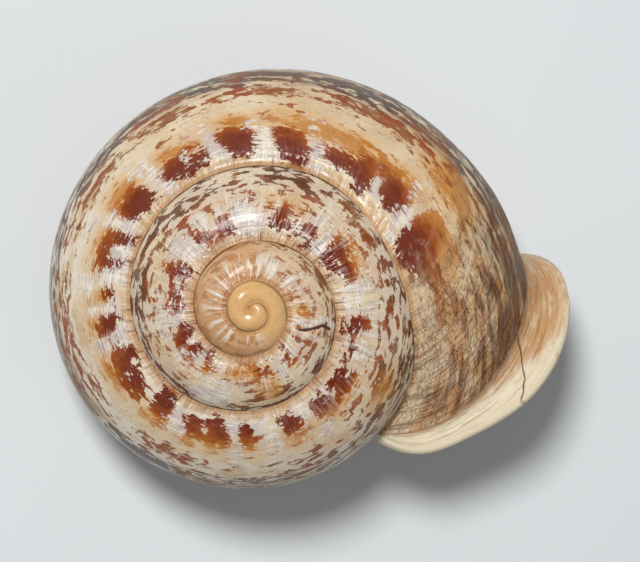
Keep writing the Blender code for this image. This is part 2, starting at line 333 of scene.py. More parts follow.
class Row:
    """Points of the net side by side, tagged with their turn, line and what they belong to."""

    def __init__(self, ids, *tags):
        self.ids = np.array(ids, int)
        self.tags = np.zeros((len(self.ids), 3))
        for column, values in enumerate(tags):
            self.tags[:, column] = values

    def __len__(self):
        return len(self.ids)

    def part_of(self, first, last, step=1):
        return Row(self.ids[first:last:step], *self.tags[first:last:step].T)

    def joined(self, *others):
        rows = (self, *others)
        tags = np.concatenate([row.tags for row in rows])
        return Row(np.concatenate([row.ids for row in rows]), *tags.T)

    def closed(self):
        return self.joined(self.part_of(0, 1))

    def as_part(self, part):
        again = self.joined()
        again.tags[:, 2] = part
        return again


class Net:
    """Points, and the faces between rows of them, with a tag for every corner of a face."""

    def __init__(self):
        self.points = np.zeros((0, 3))
        self.pieces = []
        self.corners = []
        self.tags = []
        self.count = 0

    def add(self, points):
        points = np.atleast_2d(points)
        self.pieces.append(points)
        first, self.count = self.count, self.count + len(points)
        return np.arange(first, self.count)

    def at(self, ids):
        if len(self.points) != self.count:
            self.points = np.concatenate(self.pieces)
        return self.points[ids]

    def strip(self, one, other):
        for kept, a, b in ((self.corners, one.ids, other.ids), (self.tags, one.tags, other.tags)):
            kept.append(np.stack([a[:-1], a[1:], b[1:], b[:-1]], axis=1))

    def fan(self, point, ring):
        ring = ring.closed()
        self.strip(ring, Row([self.add(point)[0]] * len(ring), *ring.tags.T))

    def mesh(self, name):
        """The mesh, with the corners' tags, once corners that coincide are dropped."""
        corners, tags = np.concatenate(self.corners), np.concatenate(self.tags)
        kept = corners != np.roll(corners, -1, axis=1)
        whole = kept.sum(axis=1) > 2
        corners, tags, kept = corners[whole], tags[whole], kept[whole]
        sizes = kept.sum(axis=1)
        mesh = bpy.data.meshes.new(name)
        mesh.vertices.add(self.count)
        mesh.vertices.foreach_set("co", self.at(np.arange(self.count)).ravel())
        mesh.loops.add(int(sizes.sum()))
        mesh.loops.foreach_set("vertex_index", corners[kept])
        mesh.polygons.add(len(sizes))
        mesh.polygons.foreach_set("loop_start", np.cumsum(sizes) - sizes)
        mesh.update(calc_edges=True)
        layer = mesh.attributes.new("tag", "FLOAT_VECTOR", "CORNER")
        layer.data.foreach_set("vector", tags[kept].ravel())
        return mesh


def outer_rows(net, coil, lags):
    """Rows of points on the outside, each sharing its first point with the whorl before."""
    count = int((LAST_TURN - TIP_TURN) * STEPS)
    lines = np.arange(ACROSS + 1.0)
    tip = net.add((0.0, 0.0, 0.0))[0]
    rows = [Row([tip] * (ACROSS + 1), TIP_TURN, lines, OUTSIDE)]
    for k in range(1, count + 1):
        turn = LAST_TURN - (count - k) / STEPS
        own = turn - lags * swing(turn)
        points = place(own, *coil.skin(own, lines))
        last = ACROSS if k >= count - STEPS else TOP_SPANS
        first = rows[k - STEPS].ids[TOP_SPANS] if k >= STEPS else tip
        ids = np.concatenate([[first], net.add(points[1:last + 1])])
        rows.append(Row(ids, own[:last + 1], lines[:last + 1], OUTSIDE))
    for before, after in zip(rows, rows[1:]):
        net.strip(before.part_of(0, len(after)), after.part_of(0, len(before)))
    return rows


def lip_rings(net, rows, inner, ripple):
    """The lip's outer and inner rings, curled out from the last row of the skin."""
    edge, before = net.at(rows[-1].ids), net.at(rows[-1 - LIP_BEHIND].ids)
    along = unit(np.gradient(edge, axis=0))
    forward = edge - before
    forward = unit(forward - along * np.sum(forward * along, axis=1, keepdims=True))
    outward = unit(np.cross(along, forward))
    outward *= np.sign(np.sum(outward[ACROSS // 2] * (edge[ACROSS // 2] - edge[-1])))
    reach = through(LIP_WIDTH, np.arange(ACROSS + 1.0) / ACROSS)[:, None] * MM
    settle = inner - (edge - WALL_THICK * outward)
    outer, inside = [], []
    for ring in range(1, LIP_RINGS + 1):
        share = ring / LIP_RINGS
        curl = LIP_CURL * share
        lines = bumps(LIP_LINES, np.arange(ACROSS + 1.0), np.full(ACROSS + 1, share))
        outer.append(edge + reach * (math.sin(curl) * forward + (1 - math.cos(curl)) * outward))
        outer[-1] += ripple * (math.sin(math.pi * share) * lines)[:, None] * outward
        facing = math.cos(curl) * outward - math.sin(curl) * forward
        swell = math.sin(math.pi * LIP_SWELL * share)
        thick = WALL_THICK + (LIP_THICKNESS - WALL_THICK) * swell
        thick += (LIP_EDGE - thick) * max(0.0, share - LIP_TAPER) / (1 - LIP_TAPER)
        inside.append(outer[-1] - thick * facing + (1 - share) * settle)
    return outer, inside


def add_hollow(net, coil, lags):
    """The hollow's surface up to the mouth; its last ring comes back."""
    behind, deepest = 0, int(round((LAST_TURN - HOLLOW_START) * STEPS))
    stations = []
    while behind < deepest:
        stations.append(behind)
        behind += [stride for start, stride in HOLLOW_STRIDES if start <= behind][-1]
    ring = None
    for behind in reversed(stations):
        points, middle, own = hollow(coil, LAST_TURN - behind / STEPS, lags)
        new = Row(net.add(points), own, np.arange(len(points)), INSIDE)
        if ring is None:
            net.fan(middle.mean(axis=0), new)
        else:
            net.strip(ring.closed(), new.closed())
        ring = new
    return ring


def add_lip(net, rows, ring, ripple):
    """The lip from the skin's last row round its edge to the hollow's last ring."""
    mouth = net.at(ring.ids)
    outer, inside = lip_rings(net, rows, mouth[:ACROSS + 1], ripple)
    last, foot_line = rows[-1].as_part(LIP), []
    last.tags[:, 0] = 0.0
    for k, points in enumerate(outer, 1):
        row = Row(np.concatenate([last.ids[:1], net.add(points[1:])]), k / LIP_RINGS,
                  last.tags[:, 1], LIP)
        net.strip(last, row)
        last = row
        foot_line.append(row.ids[-1])
    base = rows[len(rows) - 1 - STEPS]
    foot, head = net.at([last.ids[-1], base.ids[ACROSS]])
    shares = np.arange(1, PILLAR_SPANS) / PILLAR_SPANS
    pillar = Row(net.add(foot + (head - foot) * shares[:, None]), 1.0, ACROSS + shares, INSIDE)
    rim = last.joined(pillar, base.part_of(ACROSS, TOP_SPANS, -1).as_part(INSIDE))
    back, mouth_back = net.at(rim.ids[ACROSS + 1:]), mouth[ACROSS + 1:]
    for k, points in enumerate(inside, 1):
        merged = mouth_back + (back - mouth_back) * k / (LIP_RINGS + 1)
        new = Row(net.add(np.concatenate([points, merged])), 0, np.arange(len(ring)), INSIDE)
        new.tags[:ACROSS + 1, 0], new.tags[:ACROSS + 1, 2] = 2.0 - k / LIP_RINGS, LIP
        if k == 1:
            start = ring.joined()
            start.tags[:ACROSS + 1, 0], start.tags[:ACROSS + 1, 2] = 2.0, LIP
            ring = start
        net.strip(ring.closed(), new.closed())
        ring = new
    rim.tags[:, 1] = np.arange(len(rim))
    net.strip(ring.closed(), rim.closed())
    return np.concatenate([foot_line, pillar.ids])


def add_navel(net, rows, closing):
    """The pad that closes the navel, from the base's end over one turn and the lip's foot."""
    first = len(rows) - 1 - STEPS
    loop = Row([row.ids[ACROSS] for row in rows[first:]], 0, 0, PAD)
    loop = loop.joined(Row(closing, 0, 0, PAD))
    edge = net.at(loop.ids)
    hub = np.array([0.0, 0.0, edge[:, 2].min() + NAVEL_RISE])
    for share in NAVEL_RINGS:
        ring = edge + (hub - edge) * np.array([share, share, math.sin(share * math.pi / 2)])
        new = Row(net.add(ring), share, 0, PAD)
        net.strip(loop.closed(), new.closed())
        loop = new
    net.fan(hub, loop)


# Markings: first and last thousandth of a turn, first and last hundredth across
BLOTCHES = [
    (0, 17, 20, 44), (30, 56, 13, 42), (61, 87, 20, 42), (105, 130, 5, 42), (141, 149, 28, 36),
    (152, 200, 17, 40), (182, 199, 12, 38), (207, 215, 28, 36), (222, 240, 17, 39),
    (259, 271, 19, 27), (291, 303, 8, 36), (294, 328, 30, 41), (318, 330, 10, 34),
    (346, 380, 15, 40), (408, 445, 14, 32), (470, 500, 15, 41), (525, 552, 5, 36),
    (573, 600, 20, 30), (603, 616, 16, 42), (612, 640, 36, 46), (630, 656, 20, 45),
    (673, 710, 8, 48), (700, 722, 15, 30), (710, 745, 24, 30), (-465, -435, 27, 43),
    (-470, -420, 15, 25), (-420, -385, 22, 32), (-395, -375, 8, 18), (-360, -325, 5, 43),
    (-330, -295, 16, 36), (-238, -214, 10, 38), (-195, -175, 20, 28), (-160, -120, 15, 42),
    (-118, -85, 17, 42), (-65, -38, 17, 38), (-1115, -1095, 20, 42), (-1052, -1030, 24, 44),
    (-905, -885, 10, 42), (-866, -846, 12, 42), (-825, -785, 10, 38), (-760, -710, 15, 35),
    (-685, -658, 10, 42), (-560, -530, 16, 38), (-610, -585, 22, 36)]
AMBERS = [
    (0, 20, 38, 50), (35, 58, 38, 52), (62, 90, 38, 52), (108, 132, 38, 52), (155, 202, 36, 52),
    (222, 242, 36, 50), (253, 266, 22, 46), (294, 330, 36, 48), (344, 382, 34, 54),
    (405, 446, 30, 47), (468, 502, 38, 53), (513, 592, 34, 53), (570, 606, 32, 53),
    (625, 662, 42, 54), (684, 748, 30, 53), (640, 692, 62, 86), (-160, -80, 34, 48),
    (-66, -36, 34, 51), (-362, -300, 34, 48), (-470, -430, 38, 50), (-1055, -1020, 42, 75),
    (-1020, -935, 15, 35), (-1260, -1210, 18, 38), (-180, -145, 65, 82)]
PALES = [
    (18, 29, 10, 50), (88, 103, 10, 50), (170, 178, 26, 33), (203, 220, 12, 50),
    (243, 256, 10, 50), (267, 290, 5, 55), (306, 318, 14, 32), (332, 345, 6, 52),
    (384, 405, 3, 60), (418, 424, 15, 21), (429, 436, 25, 31), (450, 467, 10, 50),
    (502, 520, 0, 40), (553, 571, 5, 48), (618, 630, 18, 36), (656, 672, 6, 46),
    (-380, -362, 5, 60), (-285, -245, 5, 45), (-210, -165, 28, 45), (-117, -106, 22, 32),
    (-88, -68, 5, 50), (-37, -20, 8, 50), (-940, -895, 6, 26), (-975, -895, 40, 80),
    (-882, -866, 22, 34), (-742, -732, 26, 36), (-780, -762, 8, 45), (-650, -620, 8, 48),
    (-530, -480, 8, 45)]
STREAKS = [
    (55, 110, 64, 75), (165, 190, 66, 74), (200, 265, 71, 82), (330, 380, 70, 80),
    (410, 450, 70, 80), (480, 530, 72, 82), (550, 640, 72, 85), (-375, -350, 57, 68),
    (-340, -320, 57, 75), (-390, -360, 69, 80), (-460, -430, 70, 80), (-480, -465, 72, 80),
    (-270, -240, 57, 64), (-250, -210, 75, 82), (-200, -175, 80, 92), (-740, -700, 55, 68),
    (-810, -790, 55, 63), (-660, -620, 55, 65), (-1200, -1140, 76, 86), (-1140, -1120, 78, 90),
    (-1075, -1055, 76, 88), (-1010, -965, 73, 83), (-915, -895, 73, 82), (-820, -800, 72, 81),
    (-750, -680, 72, 80), (-655, -640, 70, 79), (-1370, -1270, 74, 88), (-1945, -1860, 20, 40),
    (-1780, -1750, 16, 28), (-1730, -1700, 20, 36), (-1400, -1240, 86, 102),
    (-640, -560, 90, 102)]
# The mended crack and its scar, as points (turn, share of the way across)
CRACK = [(-1.187, 0.24), (-1.198, 0.42), (-1.207, 0.55), (-1.215, 0.66), (-1.210, 0.78)]
SCAR = [(-1.199, 0.10), (-1.210, 0.25), (-1.205, 0.42), (-1.220, 0.56), (-1.230, 0.70),
        (-1.219, 0.84)]
MARK_LEAN = 0.035  # turns by which a mark falls back over one share across
MARK_SQUARE = 2.6  # 2 is an ellipse, more is squarer
MARK_NEAR, CRACK_NEAR = 0.08, 0.06  # turns beyond its middle where a mark is looked for
FAR = 3.0  # mm, the furthest that a distance to a mark is told
NO_SEAM = 99.0  # spans, where no suture is near
SEAM_REACH = 0.9  # of the whorl before's reach, where the next one begins


def bed(coil, turn):
    """Radius in mm where the outside begins at a turn, and mm from there to its widest line."""
    inner = SEAM_REACH * (2 * float(coil.look(coil.half, turn - 1.0)) / MM)
    return inner, 2 * float(coil.look(coil.half, turn)) / MM - inner


def marked(coil, turn, across, marks):
    """Distance in mm inside the nearest mark, below 0 outside all of them."""
    found = np.full(len(turn), -FAR)
    for mark in marks:
        first, last, inner, outer = mark[0] / 1000, mark[1] / 1000, mark[2] / 100, mark[3] / 100
        middle, centre = 0.5 * (first + last), 0.5 * (inner + outer)
        near = np.abs(turn - middle) < MARK_NEAR + 0.5 * (last - first)
        start, wide = bed(coil, middle)
        length = math.pi * (start + wide * centre) * (last - first)
        width = 0.5 * wide * (outer - inner)
        over = across[near] - centre
        along = (turn[near] - middle + MARK_LEAN * over) / (0.5 * (last - first))
        over = over / (0.5 * (outer - inner))
        away = (np.abs(along) ** MARK_SQUARE + np.abs(over) ** MARK_SQUARE) ** (1 / MARK_SQUARE)
        found[near] = np.maximum(found[near], (1 - away) * min(length, width))
    return found


def broken_line(coil, turn, across, points):
    """Distance in mm from a broken line on the outside, given by its points."""
    middle = sum(at for at, share in points) / len(points)
    start, wide = bed(coil, middle)
    scale = np.array([2 * math.pi * (start + 0.5 * wide), wide])
    found = np.full(len(turn), FAR)
    near = np.abs(turn - middle) < CRACK_NEAR
    spots = np.stack([turn[near], across[near]], axis=1) * scale
    corners = np.array(points) * scale
    for one, other in zip(corners, corners[1:]):
        way = other - one
        share = np.clip((spots - one) @ way / (way @ way), 0, 1)
        away = np.linalg.norm(spots - one - share[:, None] * way, axis=1)
        found[near] = np.minimum(found[near], away)
    return found


def grain(u, v, seed):
    """Smooth noise, -1 to 1, with one bump to a unit of u and of v."""
    column, row = np.floor(u).astype(np.int64), np.floor(v).astype(np.int64)
    ease_u, ease_v = eased(u - column), eased(v - row)

    def corner(i, j):
        mixed = (i * 374761393 + j * 668265263 + seed * 974711) & 0x7FFFFFFF
        mixed = ((mixed ^ (mixed >> 13)) * 1274126177) & 0x7FFFFFFF
        return ((mixed ^ (mixed >> 16)) & 0xFFFF) / 32767.5 - 1.0

    low = corner(column, row) * (1 - ease_u) + corner(column + 1, row) * ease_u
    high = corner(column, row + 1) * (1 - ease_u) + corner(column + 1, row + 1) * ease_u
    return low * (1 - ease_v) + high * ease_v


def bumps(kinds, along, across):
    """Lines of bumps added up."""
    return sum(share * grain(along / length, across * count, seed)
               for length, count, seed, share in kinds)


def relief(coil, turn, line, look):
    """Height in metres of the wrinkles, the suture's rim and the mended crack on the outside."""
    across = coil.across(turn, line)
    along = coil.look(coil.along, grown(turn, line)) / MM
    late = eased((turn - LATE_START) / LATE_RUN)
    size = np.clip(coil.look(coil.half, turn) / coil.look(coil.half, LAST_TURN), 0.0, 1.0)
    rim = np.exp(-(across / RIM_WIDTH) ** 2) * size
    height = look.wrinkle * size * (CALM + (1 - CALM) * late) * bumps(WRINKLES, along, across)
    height += look.wrinkle * late * bumps(FOLDS, along, across)
    height += look.rim * rim * (1 + bumps(BEADS, along, across))
    height *= eased(across / FOOT_WIDTH) * eased((turn - SMOOTH_TILL) / SMOOTH_RUN)
    scar, crack = (broken_line(coil, turn, across, points) for points in (SCAR, CRACK))
    height += SCAR_HEIGHT * np.clip(1 - scar / SCAR_WIDTH, 0, 1)
    return height - CRACK_DEPTH * np.clip(1 - crack / CRACK_WIDTH, 0, 1)


def lie(mesh):
    """Turns and moves points from the coil's own axis to where the shell lies."""
    mesh.transform(resting_turn())
    mesh.transform(Matrix.Translation(SHIFT))


def resting_turn():
    return Matrix.Rotation(LEAN, 4, Vector((-math.sin(LEAN_HEADING), math.cos(LEAN_HEADING), 0.0)))


def shell_mesh(coil, look):
    """The whole shell's mesh, as it lies, with relief and with the corner layers for its paint."""
    lags, net = mouth_lags(), Net()
    rows = outer_rows(net, coil, lags)
    closing = add_lip(net, rows, add_hollow(net, coil, lags), look.ripple)
    add_navel(net, rows, closing)
    mesh = net.mesh("shell_skin")
    bm = bmesh.new()
    bm.from_mesh(mesh)
    near = [v for v in bm.verts if math.hypot(v.co.x, v.co.y) < SOFT_REACH and v.co.z < SOFT_BELOW]
    for _ in range(SOFT_ROUNDS):
        bmesh.ops.smooth_vert(bm, verts=near, factor=0.5, use_axis_x=True, use_axis_y=True,
                              use_axis_z=True)
    bmesh.ops.recalc_face_normals(bm, faces=bm.faces)
    bm.to_mesh(mesh)
    bm.free()
    raise_relief(mesh, coil, rows, look)
    lie(mesh)
    points = triples(mesh.vertices, "co")
    points[:, 2] = np.maximum(points[:, 2], 0.0)
    mesh.vertices.foreach_set("co", points.ravel())
    mesh.update()
    paint_layers(mesh, coil)
    mesh.shade_smooth()
    return mesh


def triples(items, name):
    """A value of three numbers for each item, as rows of an array."""
    values = np.zeros(len(items) * 3)
    items.foreach_get(name, values)
    return values.reshape(-1, 3)


def raise_relief(mesh, coil, rows, look):
    """Moves the outside's points along their normals by the relief's height."""
    heights = np.zeros(len(mesh.vertices))
    for row in rows[1:]:
        heights[row.ids[1:]] = relief(coil, row.tags[1:, 0], row.tags[1:, 1], look)
    points = triples(mesh.vertices, "co") + triples(mesh.vertices, "normal") * heights[:, None]
    mesh.vertices.foreach_set("co", points.ravel())
    mesh.update()


def paint_layers(mesh, coil):
    """Corner layers: where on the coil each corner is, and how deep inside each kind of mark."""
    tags = triples(mesh.attributes["tag"].data, "vector")
    turn, line, part = tags.T
    out = part == OUTSIDE  # elsewhere the coil's tables mean nothing
    spot, at = np.where(out, turn, 0.0), np.where(out, line, 0.0)
    across = np.where(out, coil.across(spot, at), line / ACROSS)
    span = 2 * coil.look(coil.half, spot) / MM * SPAN
    blotch, amber, pale, streak = (np.where(out, marked(coil, turn, across, marks), -FAR)
                                   for marks in (BLOTCHES, AMBERS, PALES, STREAKS))
    crack, scar = (np.where(out, broken_line(coil, turn, across, points), FAR)
                   for points in (CRACK, SCAR))
    layers = {
        "growth": (turn, across, part),
        "track": (coil.look(coil.along, spot) / MM,
                  np.where(out, coil.girth(spot, at) / MM, line),
                  coil.look(coil.along, grown(spot, at)) / MM),
        "marks": (blotch, amber, pale),
        "scars": (crack, scar, np.zeros(len(turn))),
        "seams": (streak,
                  np.where(out & (turn < LAST_TURN - 1), TOP_SPANS - line, NO_SEAM) * span,
                  np.where(out, line, NO_SEAM) * span)}
    for name, values in layers.items():
        layer = mesh.attributes.new(name, "FLOAT_VECTOR", "CORNER")
        layer.data.foreach_set("vector", np.stack(values, axis=1).ravel())
    mesh.attributes.remove(mesh.attributes["tag"])


def shade(red, green, blue):
    """A colour as seen on screen, 0 to 255, as linear light."""
    return tuple(((c / 255 + 0.055) / 1.055) ** 2.4 if c > 10 else c / 255 / 12.92
                 for c in (red, green, blue))


class Wire:
    """A node's output. Sums, products and sizes of it add Math nodes."""

    def __init__(self, paint, socket):
        self.paint = paint
        self.socket = socket

    def math(self, operation, first, second):
        return self.paint.node("ShaderNodeMath", {"operation": operation}, {0: first, 1: second})

    def __add__(self, other):
        return self.math("ADD", self, other)

    def __radd__(self, other):
        return self.math("ADD", other, self)

    def __sub__(self, other):
        return self.math("SUBTRACT", self, other)

    def __rsub__(self, other):
        return self.math("SUBTRACT", other, self)

    def __mul__(self, other):
        return self.math("MULTIPLY", self, other)

    def __rmul__(self, other):
        return self.math("MULTIPLY", other, self)

    def __abs__(self):
        return self.paint.node("ShaderNodeMath", {"operation": "ABSOLUTE"}, {0: self})


class Paint:
    """Nodes of one material."""

    def __init__(self, name):
        self.material = bpy.data.materials.new(name)
        self.material.use_nodes = True
        self.tree = self.material.node_tree
        self.surface = self.tree.nodes["Principled BSDF"]

    def node(self, kind, settings=None, sockets=None, output=0):
        """A node with its settings, then its sockets' values or links; gives one of its outputs."""
        made = self.tree.nodes.new(kind)
        for name, value in (settings or {}).items():
            if name == "stops":
                ramp = made.color_ramp.elements
                while len(ramp) < len(value):
                    ramp.new(1.0)
                for element, (at, colour) in zip(ramp, value):
                    element.position, element.color = at, (*colour, 1.0)
            else:
                setattr(made, name, value)
        for name, value in (sockets or {}).items():
            if isinstance(value, Wire):
                self.tree.links.new(value.socket, made.inputs[name])
            else:
                made.inputs[name].default_value = value
        return Wire(self, made.outputs[output])

    def feed(self, name, value):
        """Links a wire to the surface, or sets the surface's own value."""
        if isinstance(value, Wire):
            self.tree.links.new(value.socket, self.surface.inputs[name])
        else:
            self.surface.inputs[name].default_value = value

    def layer(self, name):
        return self.node("ShaderNodeAttribute", {"attribute_name": name}, output="Vector")

    def parts(self, vector):
        split = self.node("ShaderNodeSeparateXYZ", {}, {0: vector})
        return [Wire(self, socket) for socket in split.socket.node.outputs]

    def noise(self, vector, scale, detail=2.0, roughness=0.5, distortion=0.0):
        """Noise between about 0.2 and 0.8, middle 0.5."""
        return self.node("ShaderNodeTexNoise", {}, {
            "Vector": vector, "Scale": scale, "Detail": detail, "Roughness": roughness,
            "Distortion": distortion}, "Fac")

    def drawn(self, place, along, across, shift, *kind):
        """Noise drawn out over a surface: scales each way, a shift of its own, then its kind."""
        stretched = self.node("ShaderNodeVectorMath", {"operation": "MULTIPLY_ADD"},
                              {0: place, 1: (along, across, 0.0), 2: (0.0, 0.0, shift)})
        return self.noise(stretched, 1.0, *kind)

    def rise(self, value, low, high):
        """0 below low, 1 above high, soft between them; low may lie above high."""
        return self.node("ShaderNodeMapRange", {"interpolation_type": "SMOOTHSTEP"}, {
            "Value": value, "From Min": low, "From Max": high})

    def within(self, value, start, end):
        """1 from a soft start to a soft end, each given as where it begins and is over."""
        return self.rise(value, *start) * self.rise(value, *reversed(end))

    def mix(self, share, one, other):
        """Colours mixed by a share of the other."""
        one, other = (c if isinstance(c, Wire) else (*c[:3], 1.0) for c in (one, other))
        return self.node("ShaderNodeMix", {"data_type": "RGBA"},
                         {0: share, 6: one, 7: other}, 2)

    def coats(self, colour, coats):
        """Colours over a first one, each with its share and the wires and rises it goes by."""
        for other, share, *limits in coats:
            for limit in limits:
                share = share * (self.rise(*limit) if isinstance(limit, tuple) else limit)
            colour = self.mix(share, colour, other)
        return colour

    def bump(self, height, strength, distance, below=None):
        sockets = {"Height": height, "Strength": strength, "Distance": distance}
        if below is not None:
            sockets["Normal"] = below
        return self.node("ShaderNodeBump", {}, sockets)


# Noises, as scales along and across, a shift, then detail, roughness and distortion
SPIRAL_NOISES = [  # to a mm along and across the spiral
    (0.95, 1.9, 0, 3, 0.55, 0.3),  # island
    (2.4, 6.5, 0, 2, 0.6, 0),  # fine
    (0.30, 0.55, 4, 2, 0.5, 0),  # broad
    (0.36, 1.7, 9, 3, 0.55, 0),  # streaky
    (1.1, 2.6, 3, 3, 0.6, 0.6),  # cracked
    (0.035, 0.42, 6, 2, 0.5, 0),  # stripes
    (0.45, 5.2, 12, 2, 0.5, 0.4)]  # comb
GROWTH_NOISES = [  # to a mm across and along the growth lines
    (4.6, 0.6, 0, 3, 0.6, 0),  # growth_fine
    (1.3, 0.25, 0, 2, 0.55, 0),  # growth_broad
    (1.5, 0.30, 0, 2, 0.5, 0)]  # riblets
LIP_NOISES = [  # to the lip's width and to its length
    (5, 34, 5, 4, 0.6, 0.4),  # stain
    (15, 11.9, 5, 3, 0.6, 0)]  # ridge
SPACE_NOISES = [(260, 4, 0.6), (90, 2, 0.5)]  # cloud and drift: to a metre, detail, roughness
MIDDLE = 0.5  # of a noise

# Zones of the paint: where each starts softly, and where it ends
BAND, RIM = ((0.12, 0.18), (0.44, 0.56)), ((0.78, 0.90), (1.12, 1.30))  # across
SEAM_BAND, FLANK, SIDE, BASE = (0.15, 0.08), (0.64, 0.80), (0.85, 1.0), (1.25, 1.6)
LAST_WHORL, LAST_QUARTER, FIRST_WHORLS = (-0.20, 0.05), (0.70, 0.77), (-2.0, -2.12)  # turns
NEAR_LIP, FLATTENED = (0.78, 0.90), (0.50, 0.72)  # turns
ON_LIP, ON_LINING = ((0.2, 0.3), (1.7, 1.8)), ((1.7, 1.8), (2.7, 2.8))  # what it belongs to
CRACK_LINE = (0.022, 0.004)  # of a noise from its middle
HAIR_CRACK = (0.281, 0.081)  # across the lip at its root, and less by this at its edge
HAIR_LINE = (0.0028, 0.0010)  # across, from the hair crack's middle


def surface_values(p):
    """What the paint goes by: places on the coil, distances to marks, noises and zones."""
    s = SimpleNamespace()
    growth, track = p.layer("growth"), p.layer("track")
    s.turn, s.across, s.part = p.parts(growth)
    s.blotch, s.amber, s.pale = p.parts(p.layer("marks"))
    s.streak, s.outer_seam, s.inner_seam = p.parts(p.layer("seams"))
    s.broken, s.healed, _ = p.parts(p.layer("scars"))
    _, girth, start = p.parts(track)
    lines = p.node("ShaderNodeCombineXYZ", {}, {0: start, 1: girth})
    spot = p.node("ShaderNodeTexCoord", {}, {}, "Object")
    s.island, s.fine, s.broad, s.streaky, s.cracked, s.stripes, s.comb = (
        p.drawn(track, *kind) for kind in SPIRAL_NOISES)
    s.growth_fine, s.growth_broad, s.riblets = (p.drawn(lines, *kind) for kind in GROWTH_NOISES)
    s.stain, s.ridge = (p.drawn(growth, *kind) for kind in LIP_NOISES)
    s.cloud, s.drift = (p.noise(spot, *kind) for kind in SPACE_NOISES)
    s.island_off, s.fine_off, s.broad_off, s.cloud_off = (
        noise - MIDDLE for noise in (s.island, s.fine, s.broad, s.cloud))
    s.band, s.rim = p.within(s.across, *BAND), p.within(s.across, *RIM)
    s.seam_band, s.flank, s.side, s.base = (
        p.rise(s.across, *zone) for zone in (SEAM_BAND, FLANK, SIDE, BASE))
    s.last, s.early = p.rise(s.turn, *LAST_WHORL), p.rise(s.turn, *FIRST_WHORLS)
    s.late = p.rise(s.turn + s.across * 0.06 + s.island_off * 0.12, *LAST_QUARTER)
    s.before, s.grown_up = 1.0 - s.last, 1.0 - s.early
    s.is_lip, s.is_lining = p.within(s.part, *ON_LIP), p.within(s.part, *ON_LINING)
    s.crack = p.rise(abs(s.cracked - MIDDLE), *CRACK_LINE)
    s.gap = p.rise(s.pale + s.island_off * 2.6 + s.fine_off * 1.8 + s.broad_off * 2.6, 0.0, 0.26)
    s.torn = s.island_off * 2.2 + s.fine_off * 1.3
    s.depth = (s.blotch + s.torn * 0.9 + s.last * 0.08 + p.rise(s.turn, 0.28, 0.42) * 0.16
               + 0.10)
    s.inside = p.rise(s.depth, -0.05, 0.07)
    return s


def ground(s, look):
    """Coats on the cream: tan clouds, white in the gaps, lavender between the blotches, and slate
    round the last whorl's widest line, partly dark streaks and partly painted shade of the flank
    that turns away.
    """
    return [
        (look.tan, 0.5, (s.cloud + s.drift * 0.7, 0.72, 1.0)),
        (look.white, 0.7, s.last, (s.turn, 0.42, 0.30), (s.broad, 0.42, 0.52)),
        (look.lavender, 0.65, s.band, (s.growth_broad, 0.36, 0.56)),
        (look.lavender, 0.35, s.before, (s.turn, -1.25, -1.15), (s.broad, 0.40, 0.55)),
        (look.tan, 0.7, s.seam_band, (s.growth_broad + s.broad * 0.3, 0.45, 0.75)),
        (look.amber, 0.75, (s.amber + s.broad_off * 2.0, -1.0, 0.5)),
        # Slate mottled by streaks round the last whorl's widest line: partly dark streaks, partly
        # painted shade of the flank that turns away from the light.
        (look.slate_speckle_and_shade, 0.6, s.rim, s.last, (s.streaky + s.cloud * 0.5, 0.66, 0.84))]


def brown_mix(p, s, look):
    """The brown of islands and streaks, darker outwards and on the whorls before; towards the last
    whorl's widest line the darkening in slate and umber is painted shade.
    """
    return p.coats(look.brown, [
        (look.chestnut, 1.0, (s.broad, 0.4, 0.6)),
        (look.umber_and_shade, 0.8, s.before, (s.across + s.broad_off, 0.6, 0.8)),
        # Slate on the islands round the last whorl's widest line: painted shade of the flank,
        # partly dark streaks.
        (look.slate_speckle_and_shade, 0.9, s.rim, s.last, (s.cloud, 0.62, 0.45)),
        # Umber on the islands at the last whorl's side: painted shade where the surface turns away.
        (look.umber_and_shade, 0.35, s.side, s.last)])


def islands(s, brown):
    """Coats of brown islands and dashes: many on the whorls before and towards the rim."""
    want = (0.012 - s.last * 0.065 + s.flank * s.last * 0.05 + s.rim * s.last * 0.06
            - s.base * 0.05 + s.side * (s.stripes - MIDDLE) * 0.75)
    shore = (1.0 - s.gap * 0.7) * (1.0 - s.seam_band * 0.6)
    return [(brown, 0.9, shore, (s.island * 0.72 + s.broad * 0.28 + want, 0.535, 0.552)),
            (brown, 0.55, shore, (s.fine * 0.65 + s.island * 0.35 + want * 0.4, 0.575, 0.61))]


def blotches(p, s, look, brown):
    """Coats of ambers, streaks and blotches with torn edges, combed gaps and white hatching that is
    partly pale striae and partly painted glints on the growth lines' crests.
    """
    deep = p.rise(s.depth * 0.30 + (0.42 - s.across) * 1.9 + s.cloud_off, -0.15, 0.65)
    dark = p.node("ShaderNodeValToRGB", {"stops": [
        (0.0, look.honey), (0.35, look.chestnut), (0.95, look.maroon)]}, {"Fac": deep})
    comb = p.rise(s.comb * 0.6 + s.growth_broad * 0.4, 0.46, 0.54)
    combed = p.rise(s.comb, 0.56, 0.62) * s.inside * 0.8
    return [
        (look.honey, 0.8, (s.amber + s.torn * 0.9, -0.15, 0.25)),
        (brown, 0.9, (s.streak + s.torn, -0.10, 0.10)),
        (dark, 0.97, s.inside),
        (p.mix(comb, look.white, look.lavender), 0.88, s.gap, 1.0 - combed),
        # White hatching on the growth lines near the whorls' inner suture: partly pale striae,
        # partly painted glints on the crests of the ridges.
        (look.white, 0.7, (s.growth_fine * 0.6 + s.growth_broad * 0.4, 0.50, 0.58), s.before,
         (s.across, 0.85, 0.35), (s.broad, 0.60, 0.46), 1.0 - s.inside * 0.6)]


